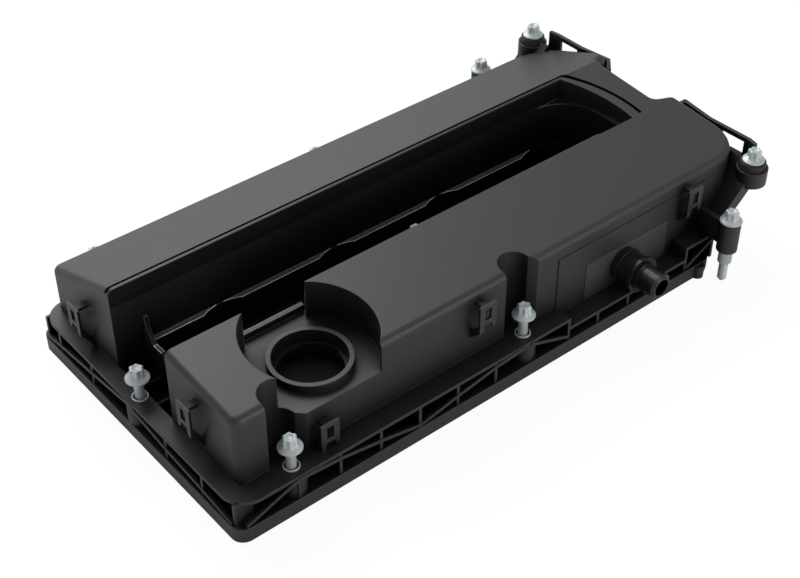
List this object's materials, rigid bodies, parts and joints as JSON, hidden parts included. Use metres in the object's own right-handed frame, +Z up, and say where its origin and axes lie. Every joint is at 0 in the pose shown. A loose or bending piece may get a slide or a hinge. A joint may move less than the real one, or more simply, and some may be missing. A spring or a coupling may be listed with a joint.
{
  "type": "engine valve cover",
  "caption": "Moulded plastic engine valve cover with a long coil well between two domes, a ribbed base flange, an oil filler neck, a breather stub and captive bolts.",
  "frame": {"origin": "middle of the bounding box at the level of the gasket face, which is the underside", "axes": "+X along the engine towards the timing end, +Y across it towards the dome without the filler, +Z up from the gasket face"},
  "size_m": [0.4236, 0.2504, 0.0829],
  "materials": {
    "moulding": "fine-grained black moulded nylon, soft sheen",
    "fitting": "smooth black plastic",
    "rubber": "black rubber seal",
    "baffle": "black moulded nylon",
    "sleeve": "zinc-plated rolled steel",
    "zinc": "zinc-plated bolt, pale blue passivation"
  },
  "bodies": {
    "cover": {"cover_shell": "moulding", "breather_fitting": "fitting", "gasket_outer": "rubber", "gasket_inner": "rubber", "grommet_near": "rubber", "grommet_far": "rubber", "baffle_near": "baffle", "baffle_far": "baffle", "baffle_filler": "baffle", "sleeve_end": "sleeve", "sleeve_near_1": "sleeve", "sleeve_near_2": "sleeve", "sleeve_far_1": "sleeve", "sleeve_far_2": "sleeve", "sleeve_well": "sleeve", "sleeve_post_near": "sleeve", "sleeve_post_far": "sleeve", "sleeve_arch_near": "sleeve", "sleeve_arch_far": "sleeve"},
    "b_end": {"bolt_end": "zinc"},
    "b_near_1": {"bolt_near_1": "zinc"},
    "b_near_2": {"bolt_near_2": "zinc"},
    "b_far_1": {"bolt_far_1": "zinc"},
    "b_far_2": {"bolt_far_2": "zinc"},
    "b_well": {"bolt_well": "zinc"},
    "b_post_near": {"bolt_post_near": "zinc"},
    "b_post_far": {"bolt_post_far": "zinc"},
    "b_arch_near": {"bolt_arch_near": "zinc"},
    "b_arch_far": {"bolt_arch_far": "zinc"}
  },
  "joints": [
    {"name": "slide_end", "type": "slide", "parent": "cover", "child": "b_end", "axis": [0, 0, 1], "range_m": [-0.013, 0.003]},
    {"name": "slide_near_1", "type": "slide", "parent": "cover", "child": "b_near_1", "axis": [0, 0, 1], "range_m": [-0.013, 0.003]},
    {"name": "slide_near_2", "type": "slide", "parent": "cover", "child": "b_near_2", "axis": [0, 0, 1], "range_m": [-0.013, 0.003]},
    {"name": "slide_far_1", "type": "slide", "parent": "cover", "child": "b_far_1", "axis": [0, 0, 1], "range_m": [-0.013, 0.003]},
    {"name": "slide_far_2", "type": "slide", "parent": "cover", "child": "b_far_2", "axis": [0, 0, 1], "range_m": [-0.013, 0.003]},
    {"name": "slide_well", "type": "slide", "parent": "cover", "child": "b_well", "axis": [0, 0, 1], "range_m": [-0.013, 0.003]},
    {"name": "slide_post_near", "type": "slide", "parent": "cover", "child": "b_post_near", "axis": [0, 0, 1], "range_m": [0, 0.012]},
    {"name": "slide_post_far", "type": "slide", "parent": "cover", "child": "b_post_far", "axis": [0, 0, 1], "range_m": [0, 0.012]},
    {"name": "slide_arch_near", "type": "slide", "parent": "cover", "child": "b_arch_near", "axis": [0, 0, 1], "range_m": [0, 0.01]},
    {"name": "slide_arch_far", "type": "slide", "parent": "cover", "child": "b_arch_far", "axis": [0, 0, 1], "range_m": [0, 0.01]}
  ]
}
